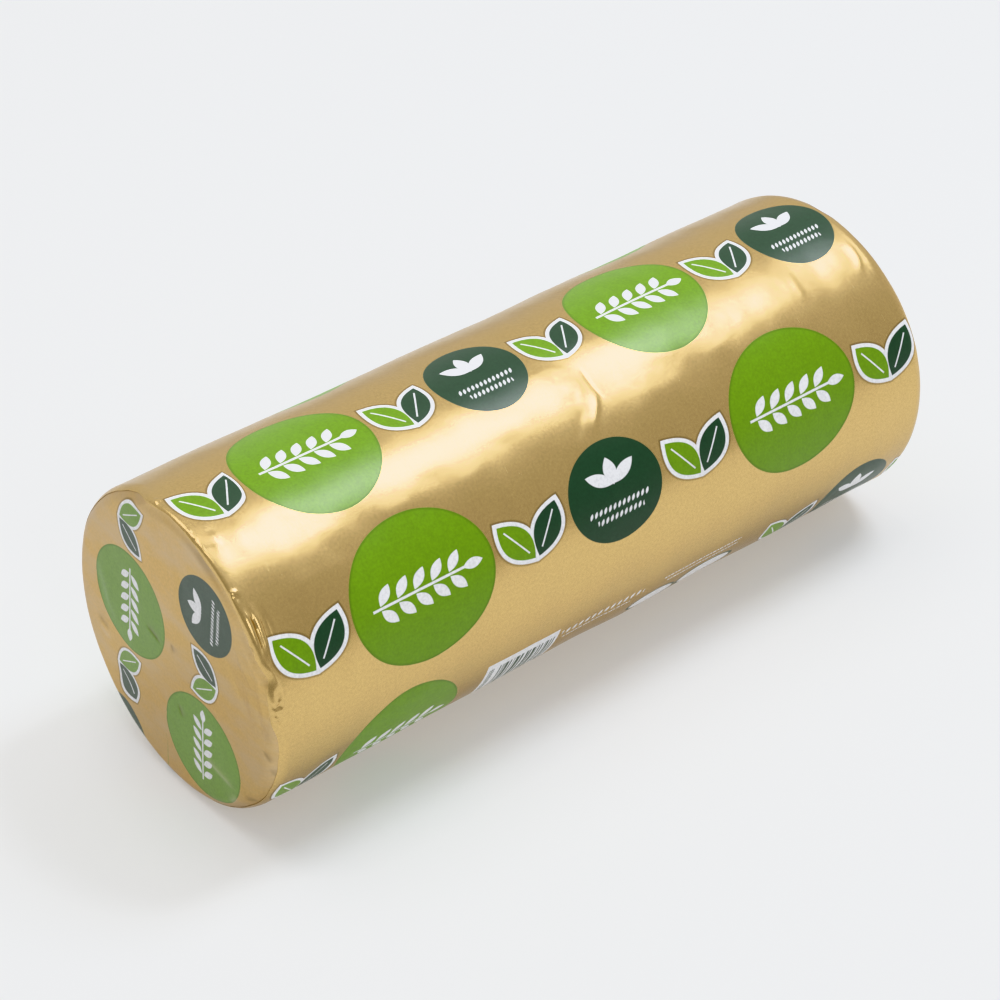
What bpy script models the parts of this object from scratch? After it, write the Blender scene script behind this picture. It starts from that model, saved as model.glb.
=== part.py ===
"""Foil-wrapped butter roll: one solid wrapped roll lying on its side, and a foil disc on each end.

Metres, +Z up. The roll's axis runs along X at the height AXIS_HEIGHT, its better side faces -Y, and it
rests on a narrow flat strip along its underside. The origin is under its middle, on the surface it rests on.
Angles round the roll are counted from the top, and are negative towards -Y.
"""

import math

import bmesh
import bpy
import numpy as np

# Driving dimensions.
ROLL_DIAMETER = 0.081
ROLL_LENGTH = 0.2075
REST_SAG = 0.0006  # how far the underside is pressed flat by the roll's own weight
SHOULDER = 0.004  # radius of the rounded edge between side and end, before it is varied below
SHOULDER_CRISP = 0.0022  # least radius of the edge at the -X end, where the wrap is folded sharply
SHOULDER_SOFT = 0.0048  # largest radius of the edge at the -X end
CRISP_ANGLE = math.radians(-35)  # where the -X end's edge is crispest
SHOULDER_FAR = 0.0043  # radius of the edge at the +X end, the same all round
END_DOME = 0.0010  # how far the middle of an end stands out past its edge
DISC_THICKNESS = 0.0008
GAP = 0.0003
DISC_EDGE_ANGLE = math.radians(50)  # how far round the shoulder the end disc reaches, from the end's plane
OVALNESS = 0.004  # share by which the section is taller than it is wide
TRILOBE = 0.0015  # share of the radius by which three flats and three crowns show in the section
WAIST = 0.0003  # how far the wrap draws in half way along
TOE_IN = 0.0077  # share by which the roll is longer on its -Y side and shorter on its +Y side
DENTS = (
    # along X, angle round, half width along X, half width round, depth
    (-0.066, math.radians(-42), 0.010, 0.012, 0.0007),
    (0.012, math.radians(-30), 0.012, 0.010, 0.0009),
    (0.083, math.radians(-24), 0.010, 0.014, 0.0006),
    (-0.020, math.radians(64), 0.016, 0.010, 0.0008),
    (0.055, math.radians(118), 0.012, 0.014, 0.0007),
)
STEPS = 72  # facets round the roll
SIDE_STATIONS = 22  # rings along the straight side
SHOULDER_STEPS = 5  # rings round the outer part of a shoulder
SEAT_STEPS = 3  # rings round the part of a shoulder that an end disc covers

# Worked out from them.
RADIUS = ROLL_DIAMETER / 2
HALF = ROLL_LENGTH / 2
SEAT = DISC_THICKNESS + GAP  # depth of the seat that an end disc lies in
UNDERSIDE = RADIUS * (1 + OVALNESS - TRILOBE)  # radius at the bottom of the section
AXIS_HEIGHT = UNDERSIDE - REST_SAG
INNER_RINGS = (RADIUS * 0.45, RADIUS - SHOULDER - 0.003)  # rings of an end inside its shoulder


def shoulder_point(depth, angle):
    """(radius, height) on the +X shoulder, depth under its surface; angle 0 faces +X, a right angle faces out."""
    reach = SHOULDER - depth
    return RADIUS - SHOULDER + reach * math.sin(angle), HALF - SHOULDER + reach * math.cos(angle)


def end_face(depth, last_angle):
    """Profile of an end, from the axis out to last_angle round its shoulder, depth under the surface."""
    flat = [(0.0, HALF - depth)] + [(ring, HALF - depth) for ring in INNER_RINGS]
    curve = [shoulder_point(depth, last_angle * i / SEAT_STEPS) for i in range(SEAT_STEPS + 1)]
    return flat + curve


def mirrored(profile):
    """The same profile at the other end, run the other way so that its faces still point out."""
    return [(radius, -height) for radius, height in reversed(profile)]


def roll_profile():
    """From the +X end's middle, over the seat, the wrap's edge and the shoulder, down the side and back in."""
    shoulder = []
    for i in range(SHOULDER_STEPS + 1):
        angle = DISC_EDGE_ANGLE + (math.pi / 2 - DISC_EDGE_ANGLE) * i / SHOULDER_STEPS
        shoulder.append(shoulder_point(0.0, angle))
    end = end_face(SEAT, DISC_EDGE_ANGLE) + shoulder
    first = HALF - SHOULDER_SOFT * 1.4
    side = [(RADIUS, first - 2 * first * i / (SIDE_STATIONS - 1)) for i in range(SIDE_STATIONS)]
    return end + side + mirrored(end)


def disc_profile():
    """The +X end's disc: out along its face and over the shoulder, then back along its underside."""
    edge = DISC_EDGE_ANGLE - GAP / SHOULDER
    return end_face(0.0, edge) + list(reversed(end_face(DISC_THICKNESS, edge)))


def turned(name, profile):
    """A mesh turned from the profile about Z with a Screw modifier, its ends closed on the axis."""
    mesh = bpy.data.meshes.new(name)
    points = [(radius, 0.0, height) for radius, height in profile]
    edges = [(i, i + 1) for i in range(len(points) - 1)]
    mesh.from_pydata(points, edges, [])
    obj = bpy.data.objects.new(name, mesh)
    bpy.context.scene.collection.objects.link(obj)
    screw = obj.modifiers.new("Turn", "SCREW")
    screw.angle = 2 * math.pi
    screw.steps = STEPS
    screw.render_steps = STEPS
    screw.use_merge_vertices = True
    screw.merge_threshold = 0.00001
    bpy.context.view_layer.update()
    graph = bpy.context.evaluated_depsgraph_get()
    solid = bpy.data.meshes.new_from_object(obj.evaluated_get(graph))
    bpy.data.objects.remove(obj)
    bpy.data.meshes.remove(mesh)
    solid.name = name
    return solid


def shoulder_scale(along, angle):
    """How much larger the shoulder is here than SHOULDER, at either end."""
    middle = (SHOULDER_SOFT + SHOULDER_CRISP) / 2
    swing = (SHOULDER_SOFT - SHOULDER_CRISP) / 2
    near = (middle - swing * np.cos(angle - CRISP_ANGLE)) / SHOULDER
    return np.where(along < 0, near, SHOULDER_FAR / SHOULDER)


def settled(along, radius, angle):
    """World points of the real, uneven roll from the true turned one, given by length, radius and angle."""
    share = radius / RADIUS
    scale = shoulder_scale(along, angle)
    from_side = RADIUS - radius
    from_end = HALF - np.abs(along)
    corner = (from_side < SHOULDER * 1.001) & (from_end < SHOULDER * 1.001)
    radius = np.where(corner, RADIUS - from_side * scale, radius)
    along = np.where(corner, np.sign(along) * (HALF - from_end * scale), along)
    along = along + np.sign(along) * END_DOME * (1 - share**2) * (from_end < SHOULDER * 1.001)

    grow = 1 + OVALNESS * np.cos(2 * angle) + TRILOBE * np.cos(3 * angle)
    inward = WAIST * np.cos(math.pi * along / ROLL_LENGTH)
    for dent_along, dent_angle, half_along, half_round, depth in DENTS:
        turn = (angle - dent_angle + math.pi) % (2 * math.pi) - math.pi
        inward = inward + depth * np.exp(
            -(((along - dent_along) / half_along) ** 2) - (turn * RADIUS / half_round) ** 2
        )
    radius = radius * grow - inward * share
    across = radius * np.sin(angle)
    height = AXIS_HEIGHT + radius * np.cos(angle)
    along = along * (1 - TOE_IN * across / RADIUS)
    return np.stack([along, across, np.maximum(height, 0.0)], axis=1)


def lay_down(mesh):
    """Lays a mesh turned about Z along X instead, and gives it the settled roll's uneven form."""
    points = np.empty(len(mesh.vertices) * 3, dtype=np.float32)
    mesh.vertices.foreach_get("co", points)
    out, side, along = points.reshape(-1, 3).astype(float).T
    radius = np.hypot(out, side)
    angle = np.arctan2(side, -out)
    mesh.vertices.foreach_set("co", settled(along, radius, angle).astype(np.float32).ravel())
    mesh.update()


def material(name, colour, roughness, metallic):
    made = bpy.data.materials.new(name)
    made.use_nodes = True
    shader = made.node_tree.nodes["Principled BSDF"]
    shader.inputs["Base Color"].default_value = (*colour, 1.0)
    shader.inputs["Roughness"].default_value = roughness
    shader.inputs["Metallic"].default_value = metallic
    return made


def add_part(name, profile, finish, collection):
    mesh = turned(name, profile)
    lay_down(mesh)
    shaped = bmesh.new()
    shaped.from_mesh(mesh)
    bmesh.ops.triangulate(shaped, faces=shaped.faces)
    shaped.to_mesh(mesh)
    shaped.free()
    mesh.shade_smooth()
    mesh.set_sharp_from_angle(angle=math.radians(35))
    mesh.materials.clear()
    mesh.materials.append(finish)
    obj = bpy.data.objects.new(name, mesh)
    collection.objects.link(obj)
    return obj


def main():
    for obj in list(bpy.data.objects):
        bpy.data.objects.remove(obj)
    collection = bpy.data.collections.new("butter_roll")
    bpy.context.scene.collection.children.link(collection)
    gold = material("gold_foil", (0.62, 0.43, 0.17), 0.35, 1.0)
    end_gold = material("end_foil", (0.60, 0.42, 0.19), 0.45, 1.0)
    add_part("foil_roll", roll_profile(), gold, collection)
    add_part("end_disc_front", mirrored(disc_profile()), end_gold, collection)
    add_part("end_disc_back", disc_profile(), end_gold, collection)


main()
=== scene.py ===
"""Looks of a butter roll wrapped in printed gold foil: its wrap, its end discs and a plain studio.

Metres, +Z up. The roll's axis runs along X, its better side faces -Y, and it rests on the floor at Z 0.
Angles round the roll are counted from the top and are negative towards -Y. Lengths along the profile of an
end are counted from where the side starts to curve in, and grow towards the middle of the end. A side of -1
is the end at -X, and a side of 1 the end at +X.
"""

import math

import bmesh
import bpy
import numpy as np
from bpy.props import FloatProperty, FloatVectorProperty, IntProperty, PointerProperty
from mathutils import Matrix, Vector


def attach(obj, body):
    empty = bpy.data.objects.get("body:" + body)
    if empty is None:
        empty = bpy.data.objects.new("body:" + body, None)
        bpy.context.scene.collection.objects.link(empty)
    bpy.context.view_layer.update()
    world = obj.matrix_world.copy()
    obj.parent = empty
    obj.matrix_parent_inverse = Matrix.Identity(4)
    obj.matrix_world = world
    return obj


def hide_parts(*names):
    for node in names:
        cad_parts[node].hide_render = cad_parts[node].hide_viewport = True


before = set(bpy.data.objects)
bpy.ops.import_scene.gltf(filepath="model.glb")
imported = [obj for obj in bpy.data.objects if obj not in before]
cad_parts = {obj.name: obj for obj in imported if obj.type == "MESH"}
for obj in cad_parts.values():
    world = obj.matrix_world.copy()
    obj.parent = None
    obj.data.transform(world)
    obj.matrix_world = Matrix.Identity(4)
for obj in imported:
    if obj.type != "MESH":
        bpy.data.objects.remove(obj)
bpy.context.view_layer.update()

bl_info = {
    "name": "Foil-wrapped butter roll",
    "version": (1, 0, 0),
    "blender": (4, 5, 0),
    "location": "3D View > Sidebar > Butter roll",
    "description": "Makes the printed foil wrap, its end discs and a plain studio round a packed butter roll",
    "category": "Object",
}

MM = 0.001
BODY = "root"
TAU = 2 * math.pi


class RollShape(bpy.types.PropertyGroup):
    """Sizes of the wrapped roll."""

    diameter: FloatProperty(
        name="Diameter", description="Diameter of the wrapped roll",
        default=0.081, subtype="DISTANCE", unit="LENGTH",
    )
    length: FloatProperty(
        name="Length", description="Length of the roll between the edges of its ends",
        default=0.2075, subtype="DISTANCE", unit="LENGTH",
    )
    rest_sag: FloatProperty(
        name="Flat underneath", description="How far the roll's weight presses its underside flat",
        default=0.0006, subtype="DISTANCE", unit="LENGTH",
    )
    end_dome: FloatProperty(
        name="End dome", description="How far the middle of an end stands out past its edge",
        default=0.0010, subtype="DISTANCE", unit="LENGTH",
    )
    facets: IntProperty(name="Facets", description="Points round the roll", default=400, min=24)


class FoilColours(bpy.types.PropertyGroup):
    """Colours of the foil and its inks."""

    gold: FloatVectorProperty(
        name="Gold", description="Lacquered foil of the wrap",
        default=(0.65, 0.46, 0.19), subtype="COLOR", size=3,
    )
    end_gold: FloatVectorProperty(
        name="End gold", description="Lacquered foil of the end discs",
        default=(0.61, 0.42, 0.176), subtype="COLOR", size=3,
    )
    light_green: FloatVectorProperty(
        name="Light green", description="Ink of the large discs",
        default=(0.141, 0.293, 0.002), subtype="COLOR", size=3,
    )
    dark_green: FloatVectorProperty(
        name="Dark green", description="Ink of the small discs",
        default=(0.016, 0.056, 0.024), subtype="COLOR", size=3,
    )
    white: FloatVectorProperty(
        name="White", description="Ink of the fine marks",
        default=(0.80, 0.80, 0.82), subtype="COLOR", size=3,
    )


class StudioSetup(bpy.types.PropertyGroup):
    """Camera and light of the plain studio."""

    lens: FloatProperty(
        name="Lens", description="Focal length for a 36 mm wide sensor", default=117.2, subtype="NONE"
    )
    softbox: FloatProperty(
        name="Softbox", description="Power of the softbox on the right",
        default=6.0, subtype="POWER", unit="POWER",
    )
    fill: FloatProperty(
        name="Fill", description="Power of the large softbox overhead",
        default=5.0, subtype="POWER", unit="POWER",
    )
    front: FloatProperty(
        name="Front", description="Power of the small softbox in front",
        default=1.2, subtype="POWER", unit="POWER",
    )


# ---------------------------------------------------------------- form of the roll

# Parts of the settled, uneven form, which the solids share.
OVALNESS = 0.004
TRILOBE = 0.0015
WAIST = 0.3 * MM
TOE_IN = 0.0077
DENTS = (
    # along X, angle round, half width along X, half width round, depth
    (-66 * MM, math.radians(-42), 10 * MM, 12 * MM, 0.7 * MM),
    (12 * MM, math.radians(-30), 12 * MM, 10 * MM, 0.9 * MM),
    (83 * MM, math.radians(-24), 10 * MM, 14 * MM, 0.6 * MM),
    (-20 * MM, math.radians(64), 16 * MM, 10 * MM, 0.8 * MM),
    (55 * MM, math.radians(118), 12 * MM, 14 * MM, 0.7 * MM),
)

# The edge of an end, with angles and half widths in degrees and lengths in mm.
SOFT_BEND, CRISP_BEND = 4.5, 1.1  # radius of the edge where it is soft, and where it is folded sharply
CRISP_PART = {-1: (-38, 42), 1: (150, 24)}  # middle and half width of the part that is folded sharply
CRISP_FADE = 16  # over how much more of the edge the fold turns soft
# Spots of the -X end's edge, each as its middle, half width and height.
FLATTENED = (-69, 5, 1.9)  # where the radius is larger
CUT_SHORT = (-5, 13, 1.15)  # where the wrap reaches less far over the end
STANDS_OPEN = (-57, 7, 0.25)  # where the wrap stands away from the disc


def turn_from(angle, centre):
    """The signed way round from centre to angle, from -pi to pi."""
    return (angle - centre + math.pi) % TAU - math.pi


def smooth_between(value, low, high):
    """0 up to low and 1 from high on, with the cubic 3t^2 - 2t^3 between."""
    t = np.clip((value - low) / (high - low), 0, 1)
    return t * t * (3 - 2 * t)


def spot_height(angle, side, spot):
    """h exp(-(w/b)^2) at the -X end, for the way w round from the spot's middle, its half width b and its
    height h. 0 at the +X end."""
    middle, half_width, height = spot
    if side > 0:
        return 0
    return height * np.exp(-((turn_from(angle, math.radians(middle)) / math.radians(half_width)) ** 2))


def crispness(angle, side):
    """1 where the wrap's edge is folded sharply over the end, and 0 where it is soft, by the angle."""
    middle, half_width = CRISP_PART[side]
    away = np.abs(turn_from(angle, math.radians(middle)))
    return 1 - smooth_between(away, math.radians(half_width), math.radians(half_width + CRISP_FADE))


def shoulder_radius(angle, side):
    """Radius of the rounded edge: s - (s - c) k for the soft bend s, the crisp bend c and the crispness k,
    and more where the edge is flattened."""
    bend = SOFT_BEND - (SOFT_BEND - CRISP_BEND) * crispness(angle, side)
    return (bend + spot_height(angle, side, FLATTENED)) * MM


def lip_reach(angle, side):
    """How far the wrap's cut edge lies in from the start of the curve, along the profile: 3 mm, less 0.8 mm
    times the crispness, less where it is cut short, and with three sines of the angle."""
    ragged = 0.10 * np.sin(7 * angle + 1) + 0.07 * np.sin(17 * angle + side) + 0.05 * np.sin(41 * angle)
    return (3.0 - 0.8 * crispness(angle, side) - spot_height(angle, side, CUT_SHORT) + ragged) * MM


def lip_step(angle, side):
    """How far an end disc lies under the wrap's cut edge: 0.09 mm, the crispness times 0.38 mm with two
    sines of the angle, and more where the wrap stands open."""
    wave = 0.08 * np.sin(5 * angle + 2) + 0.06 * np.sin(13 * angle)
    return (0.09 + (0.38 + wave) * crispness(angle, side) + spot_height(angle, side, STANDS_OPEN)) * MM


def envelope(shape, along_profile, angle, side):
    """Outer form of one end before it is settled. From the profile length q and the shoulder radius r, with
    t = q / r held between 0 and a right angle: radius = R - r (1 - cos t) - max(q - r pi/2, 0), inset from
    the end's plane = r (1 - sin t) - min(q, 0), and the outward direction is (cos t, sin t)."""
    bend = shoulder_radius(angle, side)
    quarter = bend * math.pi / 2
    t = np.clip(along_profile / bend, 0, math.pi / 2)
    radius = shape.diameter / 2 - bend * (1 - np.cos(t)) - np.maximum(along_profile - quarter, 0)
    inset = bend * (1 - np.sin(t)) - np.minimum(along_profile, 0)
    return radius, inset, np.cos(t), np.sin(t)


def settled(shape, along, radius, angle):
    """Points of the real roll. The ends dome by d (1 - (r/R)^2); the section grows by 1 + a cos 2w + b cos
    3w for the angle w; the waist and each dent, a two-way bell exp(-u^2 - v^2), go inwards in proportion to
    the radius; the length changes by 1 - k y/R; and nothing lies below the floor."""
    full = shape.diameter / 2
    share = radius / full
    along = along + np.sign(along) * shape.end_dome * np.clip(1 - share**2, 0, 1)
    inward = WAIST * np.cos(math.pi * np.clip(along / shape.length, -0.5, 0.5))
    for dent_along, dent_angle, half_along, half_round, depth in DENTS:
        bell_along = (along - dent_along) / half_along
        bell_round = turn_from(angle, dent_angle) * full / half_round
        inward = inward + depth * np.exp(-(bell_along**2) - bell_round**2)
    radius = radius * (1 + OVALNESS * np.cos(2 * angle) + TRILOBE * np.cos(3 * angle)) - inward * share
    across = radius * np.sin(angle)
    axis_height = full * (1 + OVALNESS - TRILOBE) - shape.rest_sag
    height = np.maximum(axis_height + radius * np.cos(angle), 0)
    return np.stack([along * (1 - TOE_IN * across / full), across, height], axis=-1)


# ---------------------------------------------------------------- folds and ripples

# Folds in the wrap: half width and height in mm, and the line they follow, in mm along X and degrees round.
FOLDS = (
    # The pinched fold by the middle of the highlight, and what runs out from it.
    (0.3, -0.12, ((8.7, -19), (8.5, -22), (8.4, -24.6), (8.3, -28.2), (8.5, -31.3), (9, -35))),
    (0.6, 0.25, ((8.1, -29), (7.6, -31.7), (6.3, -34.6), (4.7, -37.6), (2.8, -40.4), (1.3, -43.3),
                 (0, -46.5))),
    (0.8, -0.12, ((2.6, -33), (0.7, -35.9), (-1, -38.8), (-2.7, -41.7), (-4.4, -45))),
    (0.9, -0.05, ((3.6, -26.5), (2.1, -29.3), (1, -32.5))),
    (1.4, 0.05, ((5.5, -21), (4.8, -26), (3.8, -31))),
    (1.1, 0.07, ((-8, -16), (0, -15), (6.5, -19))),
    # Towards the +X end.
    (0.6, 0.09, ((76.9, -21), (76.3, -27.7), (76, -31.2), (76, -36))),
    (1.4, -0.05, ((71.5, -18), (71, -27), (68.5, -33))),
    (0.5, -0.07, ((55.5, -26.8), (54.2, -29.5), (53.2, -32))),
    (0.6, 0.05, ((56.6, -27), (55.3, -30), (54.3, -32))),
    (0.55, 0.11, ((97.5, -18), (97.8, -24.4), (97.5, -28.5), (96.1, -32.7), (95, -37))),
    (0.8, -0.05, ((95.6, -20), (95.4, -27), (94, -34))),
    (0.6, 0.07, ((99.6, -28), (99.3, -35.9), (98.6, -40))),
    (2.4, 0.05, ((92, -18), (91.5, -27), (88.5, -35))),
    # Soft creases along the highlight.
    (2.6, 0.16, ((-62, -33), (-56, -38), (-50, -36))),
    (2.2, -0.14, ((-59, -41), (-53, -42), (-46, -40))),
    (2.8, -0.15, ((-50, -31), (-44, -34), (-37, -33))),
    (2.4, 0.12, ((-41, -38), (-35, -39), (-27, -36))),
    (2.6, -0.13, ((-30, -30), (-22, -34), (-14, -33))),
    (3, 0.13, ((-26, -25), (-18, -27), (-9, -29))),
    (2.6, 0.12, ((16, -37), (24, -41), (32, -38))),
    (3, -0.13, ((22, -30), (31, -34), (40, -31))),
    (2.4, 0.12, ((38, -37), (46, -36), (52, -33))),
    (2.8, -0.14, ((-88, -20), (-80, -27), (-72, -25))),
    (2.4, 0.14, ((-93, -46), (-80, -45), (-68, -46))),
    (2.6, 0.13, ((-84, -36), (-76, -33), (-68, -37))),
    (1.2, 0.1, ((-92, -16), (-93, -23), (-95.5, -30))),
    # The other side.
    (2.2, 0.18, ((-60, 98), (-48, 104), (-34, 101))),
    (1.6, -0.2, ((-6, 118), (4, 108), (12, 92))),
    (1.4, 0.17, ((-1, 122), (9, 112), (17, 97))),
    (2, 0.18, ((52, 70), (60, 82), (63, 96))),
    (1.8, -0.16, ((82, 150), (88, 138), (90, 121))),
    (2, -0.15, ((-86, 120), (-78, 132), (-76, 146))),
    (1.5, 0.14, ((-96, 70), (-88, 74), (-82, 70))),
)

# Creases over the -X end's edge: the same, with the line's distances from the corner towards the side in mm.
EDGE_FOLDS = (
    (0.4, 0.48, ((1.5, -43), (1.45, -50), (1.3, -56), (0.9, -62.5))),
    (0.34, -0.4, ((2.3, -43), (2.3, -50), (2.1, -57), (1.6, -63))),
    (0.6, 0.58, ((3.5, -43), (3.4, -51), (3.2, -58), (2.7, -65))),
    (0.8, -0.34, ((5, -44), (4.9, -53), (4.6, -60), (3.9, -67))),
    (0.7, 0.1, ((6.4, -46), (6.4, -55), (5.8, -62))),
    (0.4, 0.24, ((0.9, -61), (1.8, -67), (2.5, -73), (2.9, -77))),
    (0.36, -0.3, ((2.3, -72), (2.2, -75), (1.8, -78))),
    (0.6, -0.5, ((2.1, -77.6), (1.7, -79.6))),
    (0.3, 0.34, ((-0.3, -81.6), (0.5, -82), (1.5, -83.6))),
    (0.3, -0.34, ((-0.2, -82.9), (0.7, -83.4), (1.6, -84.9))),
    (0.34, 0.28, ((-0.4, -37.6), (0.9, -38.2), (2.4, -39))),
    (0.34, -0.26, ((-0.2, -39.5), (1, -40), (2.2, -40.6))),
    (0.5, -0.1, ((0.2, -20.6), (2, -21.9), (3.8, -22.6))),
    (0.9, 0.12, ((5, -16.5), (4.6, -20), (3.9, -23))),
    (0.34, 0.22, ((-0.2, 5), (0.9, 5.6), (1.8, 6.6))),
    (0.34, -0.22, ((-0.2, 3.2), (0.9, 3.6), (1.9, 4.4))),
    (0.3, 0.16, ((-0.4, -12), (0.6, -12.6), (1.4, -13.6))),
    (0.3, -0.18, ((-0.5, -16.2), (0.3, -16.8), (1.2, -17.8))),
    (0.3, 0.2, ((-0.6, -57.5), (-1.4, -56.5), (-2.4, -55))),
    (0.3, -0.2, ((-0.5, -59.4), (-1.4, -58.8), (-2.6, -57.6))),
    (0.3, 0.18, ((-0.5, -61.2), (-1.5, -61.2), (-2.4, -60.6))),
    (0.4, 0.1, ((0.3, -46), (1.5, -47), (2.6, -47.5))),
    (0.34, -0.1, ((-0.6, -103), (-1.6, -104), (-2.8, -106))),
    (0.34, 0.1, ((-0.8, -108), (-2, -109), (-3, -112))),
    (0.9, 0.1, ((5.5, -10), (4, -16), (4.6, -23))),
    (2.4, -0.36, ((-0.3, -12), (-0.3, -26), (-0.3, -38), (-0.3, -51))),
)
ELSEWHERE = 99.0  # mm from the corner: farther than any crease over an edge reaches

# Folds of an end disc: the same, with the line's places across and up from the axis in mm.
END_FOLDS = (
    (1.8, -0.22, ((-33, 12), (-34.5, 5), (-36, -3), (-35.5, -9))),
    (1.2, 0.12, ((-30, 13), (-31.5, 5), (-33, -4))),
    (1.4, 0.1, ((2, 38), (-1.5, 31), (-4.5, 23), (-1, 10))),
    (1.2, -0.1, ((-1, 37), (-4.5, 30), (-7.5, 22), (-4.5, 12))),
    (1.3, 0.16, ((28, 13), (27, 8), (24.5, 1), (21, -5))),
    (1, -0.12, ((30.5, 11), (29.5, 5), (26.5, -2))),
    (0.45, 0.16, ((-11, -21.8), (-15.1, -23.7), (-19.1, -24.8), (-24, -26.2))),
    (0.45, -0.16, ((31.4, -6.4), (28.4, -8), (25.5, -8.7))),
    (0.45, 0.12, ((30.6, -9), (27.6, -10.6), (24.6, -11))),
    (0.45, -0.2, ((9.4, 3.6), (5.4, 2.2), (2.6, 1))),
    (0.4, -0.14, ((-1.3, 4.3), (-1.6, 2.2), (-1.9, 1))),
    (0.45, -0.18, ((-2.3, -12.4), (-2.9, -14.5), (-3.8, -16.5))),
    (0.4, -0.18, ((-35, -6.2), (-36.4, -8), (-37.4, -9.4))),
    (0.4, -0.14, ((-36.6, -10.8), (-37, -12.6), (-37.2, -14.2))),
    (0.45, -0.2, ((-26.6, -26.6), (-28.4, -25.9), (-30.3, -25.6))),
    (0.45, 0.14, ((-20.5, -31.4), (-22.2, -29.7), (-24.3, -27.1))),
    (0.6, 0.12, ((-26.2, 18.6), (-28.6, 14.2), (-30.8, 11.6), (-33.3, 9))),
    (0.6, -0.1, ((-23, 14.4), (-25.9, 7.7), (-29.6, 2.6), (-32.3, -0.3))),
    (0.8, 0.12, ((2.2, 37.5), (1, 35.5), (-0.4, 32.5))),
    (1.6, 0.09, ((17, 33), (10, 28), (8, 21))),
    (1.5, -0.09, ((20, -22), (14, -28), (6, -31))),
    (1.1, 0.08, ((3, -8), (1, -17), (4, -26))),
)
THIN_FOLD = 0.5  # mm, the largest half width of a fold whose line gets painted shade or painted highlight on the disc
FULL_FOLD_SHADING = 0.20  # mm, the height of a thin fold at which its painted shade in a groove, or painted highlight on a ridge, is full

HIDDEN_ARC = (40, 230)  # angles between which folds are drawn by chance
DEGREES_PER_MM = 1.4  # about how far round the roll a millimetre reaches
LAP_ANGLE = 122  # where the wrap's outer end lies, on the hidden side
LAP_STEP = 0.16 * MM
LAP_RISE, LAP_FADE = 0.5, 14.0  # mm over which its step rises before the outer end, and dies away past it
FOIL_SINK = 0.06 * MM  # how far the plain wrap lies under the outer form


def fold_height(across, up, lines):
    """Sum over the lines of h / (1 + (d/w)^2)^1.5, d being the distance to the line, h its height, and w
    its half width, three times as large on the line's right, eased to nothing at both of its ends."""
    total = np.zeros(np.broadcast(across, up).shape)
    for half_width, height, line in lines:
        steps = np.hypot(*(np.diff(line, axis=0).T))
        nearest = np.full(total.shape, np.inf)
        place = np.zeros(total.shape)
        on_left = np.zeros(total.shape, bool)
        for i, ((x0, y0), (x1, y1)) in enumerate(zip(line, line[1:])):
            t = np.clip(((across - x0) * (x1 - x0) + (up - y0) * (y1 - y0)) / steps[i] ** 2, 0, 1)
            away = np.hypot(across - x0 - t * (x1 - x0), up - y0 - t * (y1 - y0))
            closer = away < nearest
            nearest = np.where(closer, away, nearest)
            place = np.where(closer, (steps[:i].sum() + t * steps[i]) / steps.sum(), place)
            on_left = np.where(closer, (x1 - x0) * (up - y0) > (y1 - y0) * (across - x0), on_left)
        ends = smooth_between(1 - np.abs(2 * place - 1), 0, 0.7)
        width = np.where(on_left, half_width, 3 * half_width)
        total += height * ends / (1 + (nearest / width) ** 2) ** 1.5
    return total


def round_mm(shape, lines):
    """The same lines with their angles, in degrees, turned into lengths round the roll in mm."""
    per_degree = math.radians(1) * shape.diameter / 2 / MM
    return [(width, height, [(x, turn * per_degree) for x, turn in line]) for width, height, line in lines]


def chance_folds(seed, count, along, spread, size):
    """Folds drawn by chance: lines of two steps, each 0.5 to 1.2 spreads long, that start within along and
    HIDDEN_ARC and bend a little. A half width is 0.7 to 1.5 sizes, and a height 0.11 of 0.5 to 1.2 sizes,
    in or out. Lines that start past 180 degrees are counted from the other side."""
    draw = np.random.default_rng(seed)
    lines = []
    for _ in range(count):
        x, turn = draw.uniform(*along), draw.uniform(*HIDDEN_ARC)
        heading, bend = draw.uniform(0, math.pi), draw.uniform(-0.5, 0.5)
        reach = spread * draw.uniform(0.5, 1.2)
        back = 360 if turn > 180 else 0
        line = [(x, turn - back)]
        for way in (heading, heading + bend):
            x, turn = x + reach * math.cos(way), turn + reach * math.sin(way) * DEGREES_PER_MM
            line.append((x, turn - back))
        half_width = size * draw.uniform(0.7, 1.5)
        height = size * 0.11 * draw.choice((-1, 1)) * draw.uniform(0.5, 1.2)
        lines.append((half_width, height, line))
    return lines


def ripples(full, along, angle, seed, count, longest, shortest, slope):
    """A sum of n cosines with the rms slope s (l/L)^0.4 for the wavelength l and the longest L, so the
    height is s (l/L)^0.4 l sqrt(2/n) / tau. Each runs a whole number of times round the roll, whose radius
    is full, so that it closes on itself."""
    draw = np.random.default_rng(seed)
    total = np.zeros(np.broadcast(along, angle).shape)
    for i in range(count):
        wavelength = longest * (shortest / longest) ** (i / (count - 1))
        lean = draw.uniform(-0.95, 0.95)
        turns = int(round(TAU * full / wavelength * lean))
        pace = TAU / wavelength * math.sqrt(1 - lean**2)
        height = slope * (wavelength / longest) ** 0.4 * wavelength * math.sqrt(2 / count) / TAU
        total += height * np.cos(pace * along + turns * angle + draw.uniform(0, TAU))
    return total


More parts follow.
